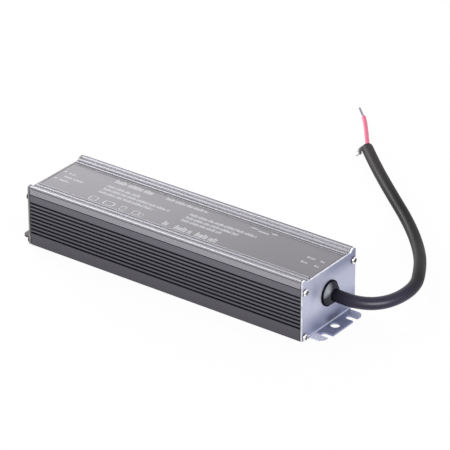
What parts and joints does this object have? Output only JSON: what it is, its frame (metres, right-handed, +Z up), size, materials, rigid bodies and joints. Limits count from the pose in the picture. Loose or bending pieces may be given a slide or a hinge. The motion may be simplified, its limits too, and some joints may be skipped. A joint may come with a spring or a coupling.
{
  "type": "led driver",
  "caption": "Long box-shaped LED driver in a ribbed aluminium extrusion with a ribbed cover, bent end plates with slotted flanges, and a black output cable that lies behind it.",
  "frame": {"origin": "centre of the underside of the body, on the surface it stands on, measured without the cable", "axes": "+X along the body towards the end where the output cable leaves, +Y across the body to the side where the cable lies, +Z up through the cover"},
  "size_m": [0.2526, 0.2774, 0.04],
  "materials": {
    "channel_metal": "dark grey anodised, fine lengthwise drawing lines",
    "cover_metal": "silver-grey anodised, satin, brushed lengthwise",
    "plate_metal": "bright zinc-plated sheet, bluish",
    "gasket_rubber": "matt black",
    "screw_metal": "bright nickel-plated steel",
    "grommet_rubber": "black, satin",
    "cable_rubber": "black, satin, fine surface grain",
    "red_insulation": "red-pink, satin",
    "black_insulation": "black, satin",
    "tinned_copper": "bare tinned strands",
    "board": "green, semi-gloss",
    "film": "translucent cream film",
    "fuse_glass": "clear tube with bright caps",
    "thermistor_coating": "dark green coating",
    "varistor_coating": "blue coating",
    "capacitor_box": "yellow box",
    "ferrite": "dark grey fired ferrite",
    "copper_wire": "enamelled copper wire",
    "moulded_black": "black moulded resin",
    "coil_tape": "yellow winding tape",
    "capacitor_sleeve": "dark sleeve",
    "heat_pad": "grey-blue soft pad",
    "ring_core": "yellow coated ring",
    "optocoupler_white": "white moulded resin"
  },
  "bodies": {
    "root": {"base_channel": "channel_metal", "top_cover": "cover_metal", "end_plate_output": "plate_metal", "end_plate_input": "plate_metal", "end_gasket_output": "gasket_rubber", "end_gasket_input": "gasket_rubber", "end_screws_output": "screw_metal", "end_screws_input": "screw_metal", "output_grommet": "grommet_rubber", "input_grommet": "grommet_rubber", "output_cable": "cable_rubber", "red_wire": "red_insulation", "black_wire": "black_insulation", "red_wire_strands": "tinned_copper", "black_wire_strands": "tinned_copper", "output_leads": "black_insulation", "circuit_board": "board", "insulation_film": "film", "input_fuse": "fuse_glass", "inrush_thermistor": "thermistor_coating", "surge_varistor": "varistor_coating", "film_capacitors": "capacitor_box", "disc_capacitors": "varistor_coating", "line_choke_core": "ferrite", "line_choke_windings": "copper_wire", "bridge_rectifier": "moulded_black", "boost_choke_core": "ferrite", "boost_choke_bobbin": "moulded_black", "boost_choke_winding": "coil_tape", "bulk_capacitors": "capacitor_sleeve", "transformer_core": "ferrite", "transformer_bobbin": "moulded_black", "transformer_winding": "coil_tape", "power_transistors": "moulded_black", "output_rectifiers": "moulded_black", "heat_pads": "heat_pad", "output_choke_core": "ring_core", "output_choke_winding": "copper_wire", "output_capacitors": "capacitor_sleeve", "supply_capacitor": "capacitor_sleeve", "optocouplers": "optocoupler_white", "control_chips": "moulded_black"}
  },
  "joints": []
}
